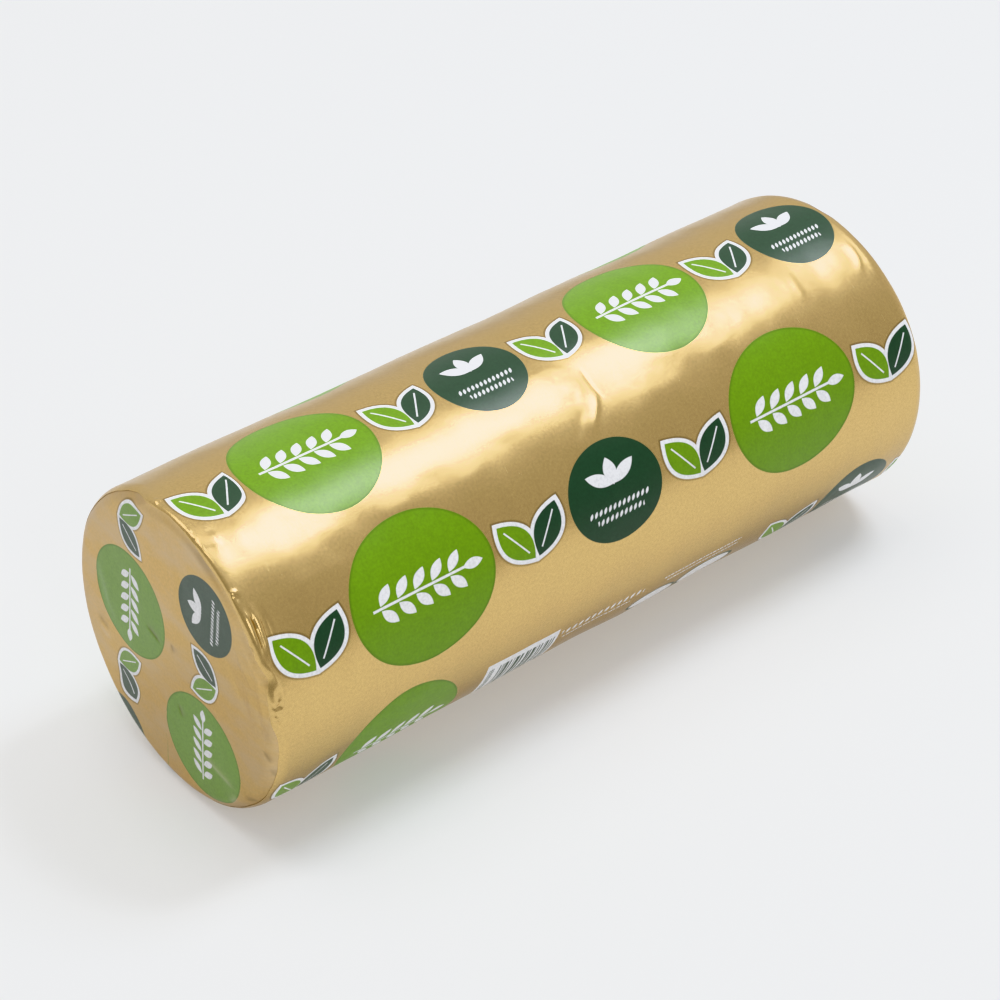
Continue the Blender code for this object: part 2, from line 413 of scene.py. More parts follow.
def wrap_relief(shape, arc, angle, edge):
    """How far the wrap stands out from the plain form: the sum of its ripples, its folds and the creases
    over both edges, less the step of the lap, where the wrap ends on the hidden side."""
    full = shape.diameter / 2
    along, around = arc / MM, angle * full / MM
    near = np.where(along < 0, edge / MM, ELSEWHERE)
    far = np.where(along > 0, edge / MM, ELSEWHERE)
    relief = ripples(full, arc, angle, seed=11, count=18, longest=44 * MM, shortest=6 * MM, slope=0.026)
    hidden = chance_folds(seed=5, count=26, along=(-92, 92), spread=9, size=2.2)
    over_edges = [chance_folds(seed=seed, count=16, along=(-1, 4), spread=2.6, size=0.9) for seed in (21, 22)]
    folds = ((along, (*FOLDS, *hidden)), (near, EDGE_FOLDS), (near, over_edges[0]), (far, over_edges[1]))
    for place, lines in folds:
        relief = relief + MM * fold_height(place, around, round_mm(shape, lines))
    past_lap = turn_from(angle, math.radians(LAP_ANGLE)) * full / MM
    lap = smooth_between(past_lap, -LAP_RISE, 0) * (1 - smooth_between(past_lap, 0, LAP_FADE))
    return relief - LAP_STEP * lap - FOIL_SINK


def disc_relief(across, up, side):
    """How far an end disc stands out from its plain form: three slow waves, each a cosine or a product of
    two, 0.05, 0.022 and 0.010 mm high, and folds along bent lines."""
    relief = 0.05 * np.cos(0.19 * across + 1.3) * np.cos(0.15 * up + side)
    relief = relief + 0.022 * np.cos(0.42 * across - 0.26 * up + 2.0 * side)
    relief = relief + 0.010 * np.cos(0.55 * across + 0.83 * up) * np.cos(0.9 * across - 0.3 * up)
    return MM * (relief + fold_height(-side * across, up, END_FOLDS))


def disc_fold_shading(across, up, side):
    """How strongly each place of an end disc gets painted light from a thin fold, from -1, painted shade in a
    groove, to 1, painted highlight on a ridge:
    the height of its thin folds as a share of the height of a thin fold that is painted in full."""
    thin = [(width, height / FULL_FOLD_SHADING, line) for width, height, line in END_FOLDS if width <= THIN_FOLD]
    return fold_height(-side * across, up, thin)


# ---------------------------------------------------------------- places in the print

# The printed rows round the roll, from row -3 to row 3. Lengths are in radii of the roll, unless they are
# in repeats of a row's pattern, which starts with a light disc.
ROW_PITCH = TAU / 6
ROW_START = -0.075  # angle of row 0
LAST_ROW = 3
ROW_REPEAT = (2.45, 2.45, 2.885, 2.523, 2.39, 2.42, 2.45)
ROW_SHIFT = (-0.75, -1.60, -1.428, -1.628, -1.064, -2.10, -0.75)  # where each row's pattern starts
ROW_SLIP = 1.6 * MM  # how much closer to its neighbour the mark by the -X end of row 0 lies
SLIP_FROM, SLIP_TO = 83.8 * MM, 86.4 * MM  # between which distances from the roll's middle this sets in
ROW_HEIGHT = 0.4075  # distance between rows, in repeats
PANEL_ROW = -2  # the row that holds the plain code panel and the ruled lines
FOIL_PRINTED = 0.1005  # metres from the roll's middle to where the dark discs are cut off at its ends

# The two printed rows down an end disc.
END_REPEAT = 2.03
END_PITCH = 0.724
END_ROW_HEIGHT = 0.357  # distance between the rows, in repeats
END_SLANT = math.radians(6.2)
END_ROWS = {-1: (0.394, -0.11, 0.4765), 1: (0.20, 0.32, -0.42)}  # the first row, and a light disc of each row
END_SHOWN = ((-0.86, 1.2), (-0.80, 0.84))  # how far down from the middle each row is printed at the -X end
# How far the foot of the -X end's first row is moved outwards, in rows, and down, in repeats, and between
# which distances down from the middle this sets in.
FOOT_MOVE = (0.14, 0.032)
FOOT_FROM, FOOT_TO = 0.50, 0.78
ROW_EDGE = 0.499  # how far past the middle of an outer row a place may lie, in rows
NO_PRINT = 0.5  # a place half way between two rows, where nothing is printed


def print_place(shape, arc, angle):
    """Place in the print: (a / R - s) / p repeats along a row, for the length a along the roll and the
    row's shift s and repeat p, and the row's number with the share of a row, (w - start) / pitch for the
    angle w."""
    row_place = (angle - ROW_START) / ROW_PITCH
    row = np.clip(np.round(row_place), -LAST_ROW, LAST_ROW).astype(int)
    repeat, shift = np.take(ROW_REPEAT, row + LAST_ROW), np.take(ROW_SHIFT, row + LAST_ROW)
    slip = np.where(row == 0, ROW_SLIP * smooth_between(-arc, SLIP_FROM, SLIP_TO), 0)
    return np.stack([((arc - slip) / (shape.diameter / 2) - shift) / repeat, row_place], -1)


def end_print_place(shape, points, side):
    """Place in the print of an end disc, whose two rows run down the end. With x across and y up from the
    axis, in radii, and the slant k: the row's place is (first row - x cos k - y sin k) / pitch, the length
    down the row is x sin k - y cos k, and repeats are counted along it from the row's light disc. The
    second row is printed the other way up."""
    full = shape.diameter / 2
    first_row, first_light, second_light = END_ROWS[side]
    across = -side * points[..., 1] / full
    up = (points[..., 2] - full * (1 + OVALNESS - TRILOBE) + shape.rest_sag) / full
    row_place = (first_row - across * math.cos(END_SLANT) - up * math.sin(END_SLANT)) / END_PITCH
    row_place = np.clip(row_place, -ROW_EDGE, 1 + ROW_EDGE)
    second = row_place > 0.5
    down = across * math.sin(END_SLANT) - up * math.cos(END_SLANT)
    repeats = (down - np.where(second, second_light, first_light)) / END_REPEAT
    if side < 0:
        foot = np.where(second, 0, smooth_between(down, FOOT_FROM, FOOT_TO))
        row_place, repeats = row_place + FOOT_MOVE[0] * foot, repeats - FOOT_MOVE[1] * foot
        (first_low, first_high), (second_low, second_high) = END_SHOWN
        low, high = np.where(second, second_low, first_low), np.where(second, second_high, first_high)
        row_place = np.where((down < low) | (down > high), NO_PRINT, row_place)
    return np.stack([np.where(second, -repeats, repeats), np.where(second, 1 - row_place, row_place)], -1)


# ---------------------------------------------------------------- meshes


def face_rows(places):
    """Map places for both sides of each row of faces: those of its first ring and those of its second."""
    return places[:-1].copy(), places[1:].copy()


def closed_skin(name, points, maps, creases=None):
    """One closed mesh from points[i, j] on a grid whose j runs round the roll and whose first and last i
    are poles. Face (i, j) joins the points (i, j), (i + 1, j), (i + 1, j + 1) and (i, j + 1), and doubles
    at the poles are merged. Each of maps is a name and the places that face_rows gives, on a grid with one
    more j, where it closes. Creases, if given, run from -1 in a groove to 1 on a ridge, for each point."""
    rings, columns, _ = points.shape
    i, j = np.meshgrid(np.arange(rings - 1), np.arange(columns), indexing="ij")
    right = (j + 1) % columns
    below = (i + 1) * columns
    faces = np.stack([i * columns + j, below + j, below + right, i * columns + right], -1)
    mesh = bpy.data.meshes.new(name)
    mesh.from_pydata(points.reshape(-1, 3), [], faces.reshape(-1, 4))
    for map_name, (first, second) in maps:
        corners = np.stack([first[i, j], second[i, j], second[i, j + 1], first[i, j + 1]], axis=2)
        layer = mesh.uv_layers.new(name=map_name, do_init=False)
        layer.uv.foreach_set("vector", corners.astype(np.float32).ravel())
    # The creases become the attribute from which the foil paints shade in grooves and highlight on ridges.
    if creases is not None:
        layer = mesh.attributes.new("crease", "FLOAT", "POINT")
        layer.data.foreach_set("value", creases.astype(np.float32).ravel())
    skin = bmesh.new()
    skin.from_mesh(mesh)
    bmesh.ops.remove_doubles(skin, verts=skin.verts, dist=1e-7)
    bmesh.ops.recalc_face_normals(skin, faces=skin.faces)
    skin.to_mesh(mesh)
    skin.free()
    mesh.shade_smooth()
    mesh.set_sharp_from_angle(angle=math.radians(50))
    obj = bpy.data.objects.new(name, mesh)
    bpy.context.scene.collection.objects.link(obj)
    return obj


# Shares of the columns round the roll, and the angles that they reach.
COLUMN_SPREAD = ((0, 0.11, 0.715, 1), (-180, -125, 35, 180))


def round_angles(shape):
    """Angles round the roll, closer together on its better side, and the same with the closing one."""
    closing = np.radians(np.interp(np.linspace(0, 1, shape.facets + 1), *COLUMN_SPREAD))
    return closing[None, :-1], closing[None, :]


def with_closing(part):
    """The same grid with its first column repeated at the end."""
    return np.concatenate([part, part[:, :1]], axis=1)


SEAT_DEPTH = 0.75 * MM  # how far under the outer form the wrap passes behind an end disc
SEAT_CORNER = 0.65  # share of END_FLAT at which the seat turns from the end to the edge
LIP_THICKNESS = 0.06 * MM
LIP_POCKET = 0.6 * MM  # how far the disc's pocket reaches under the wrap's edge
EDGE_BAND = 7.5 * MM  # length of the finely divided band by an end
END_FLAT = 9 * MM  # profile length at which an end is flat all round
SEAT_SHARES = (0.0, 0.25, 0.5, 0.75, 1.0)  # places of the seat's flat rings, in shares of the radius there
SEAT_RINGS = len(SEAT_SHARES) + 3  # rings of the wrap under a disc
HIDDEN_RINGS = SEAT_RINGS + 2  # the same with the two that make the wrap's cut edge
EDGE_RINGS = {-1: (30, 1.35), 1: (20, 1.15)}  # rings over an edge, and how much closer they lie at the lip
# Rings along the side, by number, and their places in mm.
STATIONS = ((0, 24, 66, 76, 101, 139, 174), (-96.25, -75.75, -5, 3, 11, 72, 96.25))

# The wrap's map for baking: its length in half rolls, its middle and span, and under it a round for the seat
# of each end: its step from ring to ring, its middle and both places.
BAKE_LENGTH, BAKE_MIDDLE, BAKE_SPAN = 2.1, 0.56, 0.84
SEAT_STEP, SEAT_MIDDLE, SEAT_PLACES = 0.0055, 0.065, (0.25, 0.75)


def end_rings(shape, angle, side):
    """Rings of one end, from its middle to its edge band: radius, place along X, outward direction (two
    parts), signed length along the profile from the roll's middle, and distance out from the corner towards
    the side. A ring lies at a profile length, at a depth under the envelope, and at a share of the radius
    there. For the lip at l, the bend b and the band e, ring i of n over the edge lies at the profile length
    l + (b - e - l) (i/n)^p."""
    half = shape.length / 2
    lip, bend = lip_reach(angle, side), shoulder_radius(angle, side)
    flat, pocket = np.full_like(angle, END_FLAT), lip - LIP_POCKET
    count, power = EDGE_RINGS[side]
    over_edge = lip + (bend - EDGE_BAND - lip) * ((np.arange(count) / count) ** power)[:, None]
    seat = [flat] * len(SEAT_SHARES) + [flat * SEAT_CORNER, lip + 1 * MM, pocket]
    reach = np.concatenate([*seat, pocket, lip, over_edge])
    depth = np.repeat((SEAT_DEPTH, LIP_THICKNESS, 0.0), (SEAT_RINGS, 2, count))[:, None]
    share = np.concatenate([SEAT_SHARES, np.ones(len(reach) - len(SEAT_SHARES))])[:, None]
    radius, inset, out_r, out_x = envelope(shape, reach, angle, side)
    radius, along = (radius - depth * out_r) * share, side * (half - inset - depth * out_x)
    return radius, along, out_r, side * out_x, side * (half - bend + reach), bend * math.pi / 4 - reach


def wrap_bake_places(arc, closing, half):
    """The wrap's places for baking: (1/2 + a / k h, middle + span w / tau) for the length a along the
    profile, the half roll h and the angle w, and for each end's seat a round that grows ring by ring."""
    around = np.broadcast_to(closing, arc.shape)
    side_places = [0.5 + arc / (BAKE_LENGTH * half), BAKE_MIDDLE + BAKE_SPAN * around / TAU]
    first, second = face_rows(np.stack(side_places, -1))
    reach = np.arange(HIDDEN_RINGS + 1)[:, None] * SEAT_STEP
    near, far = (
        np.stack([place + reach * np.cos(closing), SEAT_MIDDLE + reach * np.sin(closing)], -1)
        for place in SEAT_PLACES
    )
    first[:HIDDEN_RINGS], second[:HIDDEN_RINGS] = near[:-1], near[1:]
    first[-HIDDEN_RINGS:], second[-HIDDEN_RINGS:] = far[:0:-1], far[-2::-1]
    return first, second


def wrap_grid(shape):
    """Points of the wrap, ring by ring from the -X end's middle to the +X end's, and the places of its
    maps: the rings of both ends and the straight ones between them, moved out by the relief and settled."""
    angle, closing = round_angles(shape)
    full, half = shape.diameter / 2, shape.length / 2
    near = end_rings(shape, angle, -1)
    far = [part[::-1] for part in end_rings(shape, angle, 1)]
    stations = np.interp(np.arange(STATIONS[0][-1] + 1), *STATIONS)[:, None] * MM
    bend = np.where(stations < 0, shoulder_radius(angle, -1), shoulder_radius(angle, 1))
    edge = half - np.abs(stations) - bend * (1 - math.pi / 4)
    ones = np.ones_like(edge)
    middle = (ones * full, ones * stations, ones, ones * 0, ones * stations, edge)
    radius, along, out_r, out_x, arc, edge = (np.concatenate(three) for three in zip(near, middle, far))
    angles = np.broadcast_to(angle, radius.shape)
    relief = wrap_relief(shape, arc, angles, edge)
    relief[:SEAT_RINGS] = 0
    relief[-SEAT_RINGS:] = 0
    radius = np.maximum(radius + relief * out_r * (radius > 0), 0)
    points = settled(shape, along + relief * out_x, radius, angles)

    arc, around = with_closing(arc), np.broadcast_to(closing, (len(arc), closing.shape[1]))
    maps = (
        ("foil_plan", face_rows(np.stack([arc, around * full], -1))),
        ("print_plan", face_rows(print_place(shape, arc, around))),
        ("OFBake", wrap_bake_places(arc, closing, half)),
    )
    return points, maps


DISC_THICKNESS = 0.12 * MM
DISC_RINGS = (60, 30)  # rings of the flat of a disc, and of its edge
DISC_TUCK = 0.35 * MM  # how far a disc reaches under the wrap's cut edge
DISC_SINK = 0.03 * MM  # how far the whole disc lies under the outer form
DIP = (0.5 * MM, 3.5 * MM)  # between which distances in from the wrap's edge a disc rises to the outer form
CALM_RIM = (0.8 * MM, 4 * MM)  # between which distances in from the side a disc's own relief sets in
FLAT_RADIUS = 33 * MM  # about the radius at which an end's flat stops
# A disc's map for baking: its face is a round in the middle, whose radius is 1/2 at BAKE_REACH from the
# axis, and its underside a small one in a corner, with the thin rim as two rings round it.
BAKE_REACH = 48 * MM
UNDER_MIDDLE, UNDER_SCALE = 0.06, 0.1
RIM_RINGS = (0.008, 0.004)


def disc_bake_places(from_middle, closing):
    """A disc's places for baking: m + k r / 2 B (cos w, sin w) for the distance r out from the axis along
    the profile and the angle w, with the middle m, the scale k and the reach B."""
    reach = from_middle[..., None] / (2 * BAKE_REACH)
    way = np.stack([np.cos(closing), np.sin(closing)], -1)
    face, under = 0.5 + reach * way, UNDER_MIDDLE + UNDER_SCALE * reach * way
    first, second = face_rows(np.concatenate([face, under[::-1]]))
    rim = len(face) - 1
    first[rim], second[rim] = (under[-1] + ring * way[0] for ring in RIM_RINGS)
    return first, second


def disc_grid(shape, side):
    """Points of one end disc, the places of its maps, and its creases. Its face runs out along the
    envelope: rings of the flat, scaled in towards the axis by a share, and then rings at profile lengths
    from there to under the wrap's cut edge, where it follows the wrap's relief. Its underside lies
    DISC_THICKNESS further in, and runs back to the axis."""
    angle, closing = round_angles(shape)
    full, half = shape.diameter / 2, shape.length / 2
    lip, bend = lip_reach(angle, side), shoulder_radius(angle, side)
    flat, rim = DISC_RINGS
    share = np.concatenate([np.linspace(0, 1, flat, endpoint=False), np.ones(rim)])[:, None]
    to_edge = np.concatenate([np.zeros(flat), np.linspace(0, 1, rim)])[:, None]
    reach = END_FLAT + (lip - DISC_TUCK - END_FLAT) * to_edge
    radius, inset, out_r, out_x = envelope(shape, reach, angle, side)
    radius = radius * share

    wrap = wrap_relief(shape, side * (half - bend + reach), angle, bend * math.pi / 4 - reach)
    depth = (lip_step(angle, side) - wrap) * (1 - smooth_between(reach - lip, *DIP)) + DISC_SINK
    across, up = radius * np.sin(angle) / MM, radius * np.cos(angle) / MM
    inside = smooth_between(full - radius, *CALM_RIM)
    relief = disc_relief(across, up, side) * inside - depth
    outward = out_r * (radius > 0)
    top_radius, top_inset = radius + relief * outward, inset - relief * out_x
    under_radius, under_inset = top_radius - DISC_THICKNESS * outward, top_inset + DISC_THICKNESS * out_x
    radius = np.concatenate([top_radius, under_radius[::-1]])
    along = side * (half - np.concatenate([top_inset, under_inset[::-1]]))
    points = settled(shape, along, radius, np.broadcast_to(angle, radius.shape))
    # The thin folds' heights, from which the foil paints shade in grooves and highlight on ridges; the
    # underside gets none.
    fold_shading = disc_fold_shading(across, up, side)
    creases = np.concatenate([fold_shading, np.zeros_like(fold_shading)])

    closed = with_closing(points)
    from_middle = with_closing(END_FLAT - reach + share * FLAT_RADIUS)
    maps = (
        ("foil_plan", face_rows(closed[..., 1:])),
        ("print_plan", face_rows(end_print_place(shape, closed, side))),
        ("OFBake", disc_bake_places(from_middle, closing)),
    )
    return points, maps, creases


# ---------------------------------------------------------------- materials

PRINT_SOFT = 0.0016  # width over which a print's edge fades, in repeats of a row


class Sheet:
    """Adds nodes to a material's tree, so that a pattern reads as sums on sockets and plain numbers."""

    def __init__(self, name):
        self.material = bpy.data.materials.new(name)
        self.material.use_nodes = True
        self.tree = self.material.node_tree
        self.shader = self.tree.nodes["Principled BSDF"]

    def put(self, kind, inputs=(), **settings):
        """A new node with these settings, and with its inputs fed."""
        node = self.tree.nodes.new(kind)
        for key, value in settings.items():
            setattr(node, key, value)
        for key, value in dict(inputs).items():
            self.feed(node.inputs[key], value)
        return node

    def feed(self, socket, value):
        """Links another socket to this one, or sets it to a plain number or colour."""
        if isinstance(value, bpy.types.NodeSocket):
            self.tree.links.new(value, socket)
        else:
            socket.default_value = value

    def surface(self, **inputs):
        """Feeds the shader's sockets, named with _ for a space, and returns the material."""
        for key, value in inputs.items():
            self.feed(self.shader.inputs[key.replace("_", " ")], value)
        return self.material

    def math(self, operation, *values):
        """What this operation makes of the values."""
        return self.put("ShaderNodeMath", dict(enumerate(values)), operation=operation).outputs[0]

    def add(self, a, *others):
        """The sum of all."""
        for b in others:
            a = self.math("ADD", a, b)
        return a

    def take(self, a, b):
        """a less b."""
        return self.math("SUBTRACT", a, b)

    def times(self, a, b):
        """a times b."""
        return self.math("MULTIPLY", a, b)

    def over(self, a, b):
        """a divided by b."""
        return self.math("DIVIDE", a, b)

    def both(self, a, b):
        """The smaller, so for masks the part that is in both."""
        return self.math("MINIMUM", a, b)

    def either(self, a, *others):
        """The largest, so for masks the part that is in any."""
        for b in others:
            a = self.math("MAXIMUM", a, b)
        return a

    def without(self, mask):
        """The part that is not in the mask."""
        return self.take(1.0, mask)

    def size(self, a):
        """a without its sign."""
        return self.math("ABSOLUTE", a)

    def whole(self, a):
        """The whole number nearest to a."""
        return self.math("ROUND", a)

    def length(self, a, b):
        """How far (a, b) is from (0, 0)."""
        return self.math("SQRT", self.add(self.times(a, a), self.times(b, b)))

    def swing(self, noise, share):
        """How far a noise is from its middle, times share."""
        return self.times(self.take(noise, 0.5), share)

    def held(self, value):
        """The value held between 0 and 1."""
        return self.put("ShaderNodeClamp", {"Value": value}).outputs[0]

    def within(self, distance, limit, soft):
        """1 where distance is under limit and 0 past it, over the width soft."""
        return self.held(self.add(self.over(self.take(limit, distance), soft), 0.5))

    def near(self, place, limit, soft):
        """1 where place is less than limit from 0, either way."""
        return self.within(self.size(place), limit, soft)

    def uv(self, name):
        """The two places of a UV map."""
        place = self.put("ShaderNodeUVMap", uv_map=name).outputs["UV"]
        apart = self.put("ShaderNodeSeparateXYZ", {"Vector": place})
        return apart.outputs["X"], apart.outputs["Y"]

    def turned(self, a, b, degrees):
        """The place (a, b) in axes turned by this many degrees."""
        c, s = math.cos(math.radians(degrees)), math.sin(math.radians(degrees))
        return self.add(self.times(a, c), self.times(b, s)), self.take(self.times(b, c), self.times(a, s))

    def leaf(self, a, b, half_length, half_width, soft=PRINT_SOFT):
        """A pointed leaf along a: the distance |b| / w + (a / l)^2 is 1 at its edge."""
        run = self.over(a, half_length)
        form = self.add(self.over(self.size(b), half_width), self.times(run, run))
        return self.within(form, 1.0, soft / half_width)

    def noise(self, vector, scale, detail=2.0, roughness=0.5):
        """Soft noise from 0 to 1, which varies about scale times in a unit of the vector."""
        inputs = {"Vector": vector, "Scale": scale, "Detail": detail, "Roughness": roughness}
        return self.put("ShaderNodeTexNoise", inputs).outputs["Fac"]

    def mix(self, share, a, b):
        """The colour a, with this share of the colour b."""
        a, b = (colour if isinstance(colour, bpy.types.NodeSocket) else (*colour, 1) for colour in (a, b))
        return self.blend(share, a, b, "RGBA")

    def blend(self, share, a, b, kind="FLOAT"):
        """The number a, with this share of the number b."""
        return self.put("ShaderNodeMix", {"Factor": share, "A": a, "B": b}, data_type=kind).outputs["Result"]

    def bump(self, height, strength, distance):
        """The normal of a surface with this height, in units of distance, at this strength."""
        inputs = {"Height": height, "Strength": strength, "Distance": distance}
        return self.put("ShaderNodeBump", inputs).outputs["Normal"]


def scaled(colour, factor):
    """The colour made lighter or darker by the factor, and at most 1."""
    return tuple(min(1.0, factor * c) for c in colour)


# What is printed. Lengths are in repeats of a row's pattern: a runs along the row and b across it, u is the
# place along the row, and dv the place across it from the row's middle.
LIGHT_DISC = 0.175  # radius of the light discs, one at the start of each repeat
LIGHT_RIM = 0.0045  # width of their darker rim
DARK_DISC = 0.122  # radius of the dark discs, half way between the light ones
MARK_PLACE = 0.275  # how far on both sides of a light disc a leaf pair stands
PANEL_MIDDLE, PANEL_HALF = 0.68, 0.50  # the part of the panel's row that holds no discs


def sprig(s, a, b):
    """A white sprig: a stem with five pairs of leaves and one at its tip."""
    pitch = 0.043
    step = s.whole(s.over(a, pitch))
    local = s.take(a, s.times(step, pitch))
    leaf_a, leaf_b = s.turned(s.take(local, -0.004), s.take(s.size(b), 0.025), 50)
    leaves = s.both(s.leaf(leaf_a, leaf_b, 0.0255, 0.0120), s.near(step, 2.4, 0.1))
    stem = s.both(s.near(b, 0.0030, 0.0014), s.near(s.add(a, 0.008), 0.118, 0.002))
    tip = s.leaf(s.take(a, 0.124), b, 0.0245, 0.0120)
    return s.either(leaves, stem, tip)


def grains(s, a, b, place, half_length):
    """A row of small slanted grains along a."""
    pitch = 0.0125
    local = s.take(a, s.times(s.whole(s.over(a, pitch)), pitch))
    grain_a, grain_b = s.turned(local, s.take(b, place), 62)
    return s.both(s.leaf(grain_a, grain_b, 0.0085, 0.0034), s.near(a, half_length, 0.002))


def rule(s, a, b, place, half_length, seed):
    """A thin line along a, broken where the sum of two sines is low."""
    line = s.both(s.near(s.take(b, place), 0.0024, 0.0014), s.near(a, half_length, 0.002))
    beat = s.add(s.math("SINE", s.times(a, 760.0 + seed)), s.math("SINE", s.times(a, 431.0 + 3 * seed)))
    return s.both(line, s.within(0.55, s.add(beat, 1.2), 0.35))


def trefoil(s, a, b):
    """Three white leaves from one point."""
    found = s.leaf(s.take(b, 0.060), a, 0.033, 0.0160)
    for degrees in (31, 149):
        leaf_a, leaf_b = s.turned(a, s.take(b, 0.030), degrees)
        found = s.either(found, s.leaf(s.take(leaf_a, 0.037), leaf_b, 0.037, 0.0150))
    return found


def leaf_pair(s, a, b):
    """Two leaves that spring from one foot: masks of the dark outline, which also paints a drop shadow round
    the pair, the white edge, the light and the dark leaf, whose ribs are left white."""
    masks = []
    for degrees in (124, 56):
        leaf_a, leaf_b = s.turned(a, s.add(b, 0.066), degrees)
        leaf_a = s.take(leaf_a, 0.072)
        outline = s.leaf(leaf_a, leaf_b, 0.082, 0.0475, 0.004)
        edge = s.leaf(leaf_a, leaf_b, 0.076, 0.0430)
        inner = s.leaf(leaf_a, leaf_b, 0.063, 0.0340)
        rib = s.both(s.near(leaf_b, 0.0018, 0.0012), s.near(leaf_a, 0.042, 0.002))
        masks.append((outline, edge, s.both(inner, s.without(rib))))
    (outline_shadow_l, edge_l, light), (outline_shadow_d, edge_d, dark) = masks
    return s.either(outline_shadow_l, outline_shadow_d), s.either(edge_l, edge_d), light, dark


def code_panel(s, u, dv):
    """A white field with uneven bars, and beside it grains, broken rules and two ovals: masks of what is
    white and of what is dark."""
    panel_u = s.take(u, 0.364)
    white = s.both(s.near(panel_u, 0.113, 0.001), s.near(s.take(dv, 0.022), 0.070, 0.001))
    inside = s.both(s.near(panel_u, 0.104, 0.001), s.near(s.take(dv, 0.011), 0.058, 0.001))
    bar = s.math("FLOOR", s.times(u, 430.0))
    chance = s.put("ShaderNodeTexWhiteNoise", {"W": bar}, noise_dimensions="1D").outputs["Value"]
    dark = s.both(s.within(0.44, chance, 0.02), inside)

    grain_u = s.take(s.math("FRACT", s.times(u, 48.0)), 0.5)
    grain_a, grain_b = s.turned(grain_u, s.times(s.take(dv, 0.066), 45.0), 60)
    grain_row = s.near(s.take(u, 0.624), 0.134, 0.001)
    white = s.either(white, s.both(s.leaf(grain_a, grain_b, 0.5, 0.22, 0.1), grain_row))
    rules = ((0.61, 0.042, 0.11, 10.0), (0.955, 0.070, 0.13, 33.0), (0.96, 0.052, 0.12, 47.0))
    for middle, place, half_length, seed in rules:
        white = s.either(white, rule(s, s.take(u, middle), dv, place, half_length, seed))
    for middle, half_length, half_width in ((0.815, 0.080, 0.040), (0.995, 0.098, 0.046)):
        reach = s.length(s.over(s.take(u, middle), half_length), s.over(s.add(dv, 0.012), half_width))
        inner = s.within(reach, 0.88, 0.04)
        white = s.either(white, inner)
        dark = s.either(dark, s.both(s.within(reach, 1.0, 0.04), s.without(inner)))
    return white, dark


def print_layers(s, row_height, panel_row, along):
    """The print's layers, from the lowest up, each as its mask and the name of its ink, and the mask of all
    that hides the foil. A row's pattern is a light disc, a leaf pair, a dark disc and a leaf pair, and the
    panel's row has the code panel in place of some of them."""
    u, v = s.uv("print_plan")
    row = s.whole(v)
    dv = s.times(s.take(v, row), row_height)
    light_u = s.take(u, s.whole(u))
    half_on = s.take(u, 0.5)
    dark_u = s.take(half_on, s.whole(half_on))
    mark_u = s.take(light_u, s.times(s.math("SIGN", light_u), MARK_PLACE))

    disc = s.length(light_u, dv)
    light = s.within(disc, LIGHT_DISC, PRINT_SOFT)
    dark = s.within(s.length(dark_u, dv), DARK_DISC, PRINT_SOFT)
    dark = s.both(dark, s.near(along, FOIL_PRINTED, 0.0001))
    masks = [light, dark, *leaf_pair(s, mark_u, dv)]
    panel_white, panel_dark = 0.0, 0.0
    if panel_row is not None:
        in_row = s.near(s.take(row, float(panel_row)), 0.5, 0.1)
        in_panel = s.both(in_row, s.near(s.take(u, PANEL_MIDDLE), PANEL_HALF, 0.001))
        clear = s.without(in_panel)
        masks = [s.both(mask, clear) for mask in masks]
        panel_white, panel_dark = (s.both(mask, in_row) for mask in code_panel(s, u, dv))
    light, dark, outline, edge, leaf_light, leaf_dark = masks

    rim = s.both(light, s.within(LIGHT_DISC - LIGHT_RIM, disc, 0.004))
    grain_rows = (grains(s, dark_u, dv, place, half) for place, half in ((-0.034, 0.080), (-0.058, 0.062)))
    on_dark = s.either(trefoil(s, dark_u, s.take(dv, -0.012)), *grain_rows)
    white = s.either(s.both(sprig(s, light_u, dv), light), s.both(on_dark, dark), edge, panel_white)
    layers = (
        (s.times(outline, 0.55), "outline"),
        (light, "light_green"),
        (s.times(rim, 0.5), "rim"),
        (dark, "dark_green"),
        (white, "white"),
        (leaf_light, "light_green"),
        (leaf_dark, "dark_green"),
        (panel_dark, "dark_green"),
    )
    return layers, s.either(light, dark, white, panel_dark)


# The foil's surface: how often each noise varies in a metre along and round the roll, its detail and
# roughness. The streaks run round the roll, as the foil was rolled.
FOIL_NOISES = {
    "streaks": (3600.0, 260.0, 2.0, 0.6),
    "broad": (260.0, 24.0, 2.0, 0.5),
    "crumple": (105.0, 105.0, 2.0, 0.55),
    "fine": (520.0, 420.0, 2.0, 0.5),
    "grain": (1500.0, 1300.0, 2.0, 0.6),
    "smear": (34.0, 90.0, 4.0, 0.6),
}
INK_ROUGHNESS = 0.37
INK_HAZE = 0.45  # grey level towards which a haze dulls the inks
SMUDGE = (0.58, 0.455, 0.30)  # colour of the haze on the foil
GROOVE_SHADE, GROOVE_SHADE_SHARE = (0.14, 0.10, 0.05), -0.42  # painted shade along a thin fold that goes in, and how much of it
RIDGE_HIGHLIGHT, RIDGE_HIGHLIGHT_SHARE = (0.70, 0.62, 0.48), 0.35  # painted highlight along one that stands out, and how much of it


def foil_noise(s, along, around, name):
    """One of the foil's noises, stretched along or round the roll."""
    per_metre_along, per_metre_round, detail, roughness = FOIL_NOISES[name]
    parts = {"X": s.times(along, per_metre_along), "Y": s.times(around, per_metre_round)}
    return s.noise(s.put("ShaderNodeCombineXYZ", parts).outputs[0], 1.0, detail, roughness)


